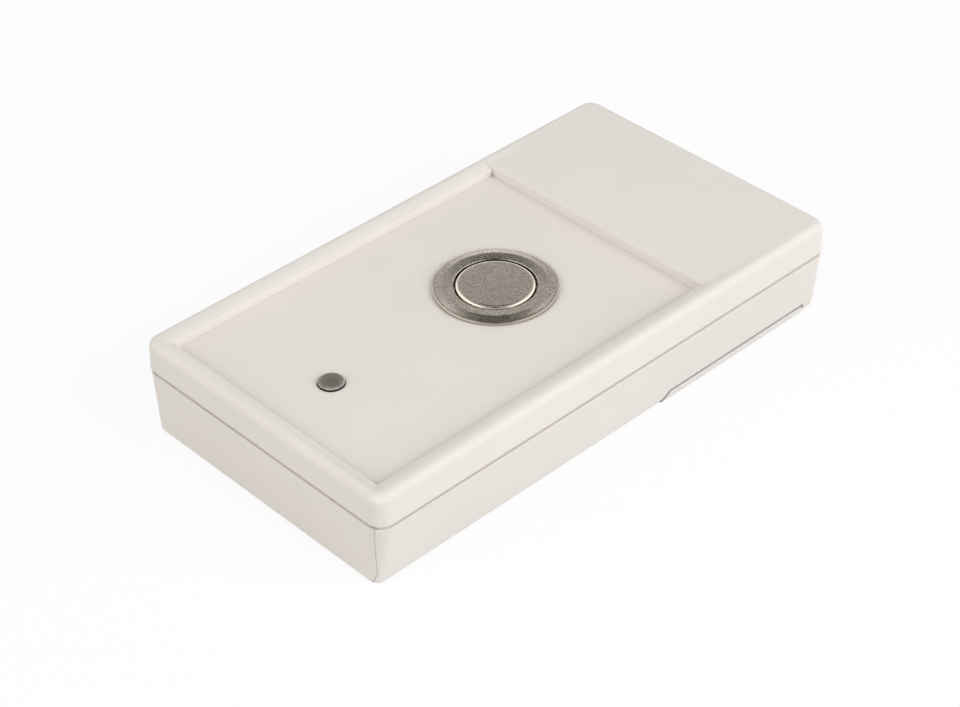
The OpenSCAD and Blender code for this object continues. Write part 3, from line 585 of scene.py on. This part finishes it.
def add_floor():
    """White where it is seen, with the object's shadow, and greyer for the light it throws back."""
    half = FLOOR_HALF
    corners = [(-half, -half, 0), (half, -half, 0), (half, half, 0), (-half, half, 0)]
    mesh = bpy.data.meshes.new("floor")
    mesh.from_pydata(corners, [], [(0, 1, 2, 3)])
    floor = bpy.data.objects.new("floor", mesh)
    floor.location.z = -FLOOR_DROP
    scene.collection.objects.link(floor)
    material = bpy.data.materials.new("floor_white")
    material.use_nodes = True
    g = Graph(material.node_tree)
    output = g.add("ShaderNodeOutputMaterial")
    paint = g.add("ShaderNodeBsdfDiffuse")
    glow = g.add("ShaderNodeEmission")
    path = g.add("ShaderNodeLightPath").outputs
    seen = g.math("MAXIMUM", path["Is Camera Ray"], path["Is Transmission Ray"])
    seen = g.math("MAXIMUM", seen, path["Is Glossy Ray"])
    g.put(paint.inputs["Color"], g.blend(seen, FLOOR_LIT, FLOOR_SEEN))
    mixed = g.mix_shaders(g.math("MULTIPLY", seen, FLOOR_GLOW), paint, glow)
    g.put(output.inputs["Surface"], mixed.outputs[0])
    mesh.materials.append(material)


# Strength of the surround for soft light, and the scale of the reflected strengths below
EVEN_STRENGTH = 0.5
REFLECT = 1.8
# Reflected strength by height, a little dimmer overhead
SURROUND = [
    (0.0, 0.9), (0.35, 0.85), (0.45, 0.78), (0.61, 0.72), (0.7, 0.64), (0.82, 0.55), (1.0, 0.5),
]
# In line with the camera, from opposite it to at it: a lit panel low down, and darkness above
ARCH = [
    (-1.0, 0.9), (-0.72, 1.1), (-0.66, 1.4), (-0.6, 1.35), (-0.55, 1.0), (-0.5, 0.72),
    (-0.46, 0.64), (-0.4, 0.6), (-0.34, 0.78), (-0.25, 0.71), (-0.215, 0.48), (-0.18, 0.05),
    (-0.05, 0.1), (0.05, 0.22), (0.24, 0.18), (0.4, 0.2), (0.54, 0.38), (0.66, 0.38),
    (0.75, 0.1), (1.0, 0.06),
]
# Off that line to either side: narrow lit panels beside the darkness, and large ones further out
BESIDE = [(0.07, 0.0), (0.13, 0.95), (0.18, 1.45), (0.27, 0.5), (0.45, 0.4), (0.6, 0.0)]
SIDES = [(0.32, 0.0), (0.46, 1.1), (0.62, 1.3)]
# The arch is narrower on the camera's side, and stops there well above the floor
ARCH_NARROWS, ARCH_INNER, ARCH_OUTER = (0.3, 0.6), (0.3, 0.22), (0.45, 0.34)
CAMERA_SIDE, ARCH_FOOT = (0.3, 0.5), (0.58, 0.66)
# The narrow panels fade towards the camera, and low down opposite it
PANEL_NEAR, PANEL_NEAR_SHARE = (-0.06, 0.06), (1.0, 0.3)
PANEL_LOW, PANEL_LOW_SHARE = (-0.32, -0.12), (0.58, 1.0)


def reflected_surround(g):
    """Studio gradient that the metal reflects."""

    def level(value, stops):
        return g.ramp(value, [(at, strength / REFLECT) for at, strength in stops])

    direction = g.add("ShaderNodeTexCoord").outputs["Generated"]
    facing = g.dot(direction, BACK)
    sideways = g.math("ABSOLUTE", g.dot(direction, RIGHT))
    height = g.split(direction)[2]
    place = g.span(facing, -1.0, 1.0, 0.0, 1.0)
    arch = level(place, [((at + 1) / 2, strength) for at, strength in ARCH])
    inner = g.span(facing, *ARCH_NARROWS, *ARCH_INNER)
    outer = g.span(facing, *ARCH_NARROWS, *ARCH_OUTER)
    inline = g.span(sideways, inner, outer, 1.0, 0.0)
    opposite = g.span(facing, *CAMERA_SIDE, 1.0, 0.0)
    raised = g.math("MAXIMUM", g.span(height, *ARCH_FOOT, 0.0, 1.0), opposite)
    inline = g.math("MULTIPLY", inline, raised)
    beside = level(sideways, BESIDE)
    for reach, share in ((PANEL_NEAR, PANEL_NEAR_SHARE), (PANEL_LOW, PANEL_LOW_SHARE)):
        beside = g.math("MULTIPLY", beside, g.span(facing, *reach, *share))
    reflected = g.blend(inline, level(height, SURROUND), arch)
    for panel in (beside, level(sideways, SIDES)):
        reflected = g.math("MAXIMUM", reflected, panel)
    return reflected


def add_world():
    """White where it is seen, even for soft light, and a studio gradient in the reflections."""
    world = bpy.data.worlds.new("studio")
    scene.world = world
    world.use_nodes = True
    g = Graph(world.node_tree)
    output = g.add("ShaderNodeOutputWorld")
    path = g.add("ShaderNodeLightPath").outputs

    def background(colour, strength):
        node = g.add("ShaderNodeBackground")
        g.put(node.inputs["Color"], colour)
        node.inputs["Strength"].default_value = strength
        return node

    white = (1.0, 1.0, 1.0, 1.0)
    shown = background(white, 1.0)
    even = background(white, EVEN_STRENGTH)
    glossy = background(reflected_surround(g), REFLECT)
    unseen = g.mix_shaders(path["Is Glossy Ray"], even, glossy)
    seen = g.math("MAXIMUM", path["Is Camera Ray"], path["Is Transmission Ray"])
    g.put(output.inputs["Surface"], g.mix_shaders(seen, unseen, shown).outputs[0])


BOX_DISTANCE, BOX_SIZE = 0.9, 0.7
KEY_POWER, FILL_POWER = 5.9, 3.5
KEY_COLOUR, FILL_COLOUR = (0.98, 0.995, 1.03), (1.0, 1.0, 1.0)
KEY_FROM, FILL_FROM = (0.83, 0.25, 0.5), (-0.2, -0.843, 0.5)


def add_softbox(name, direction, power, colour):
    data = bpy.data.lights.new(name, "AREA")
    data.shape = "SQUARE"
    data.size = BOX_SIZE
    data.energy = power
    data.color = colour
    obj = bpy.data.objects.new(name, data)
    ray = Vector(direction).normalized()
    obj.location = ray * BOX_DISTANCE
    obj.rotation_euler = ray.to_track_quat("Z", "Y").to_euler()
    obj.visible_glossy = False
    scene.collection.objects.link(obj)


add_camera()
add_world()
add_floor()
add_softbox("right_box", KEY_FROM, KEY_POWER, KEY_COLOUR)
add_softbox("left_box", FILL_FROM, FILL_POWER, FILL_COLOUR)
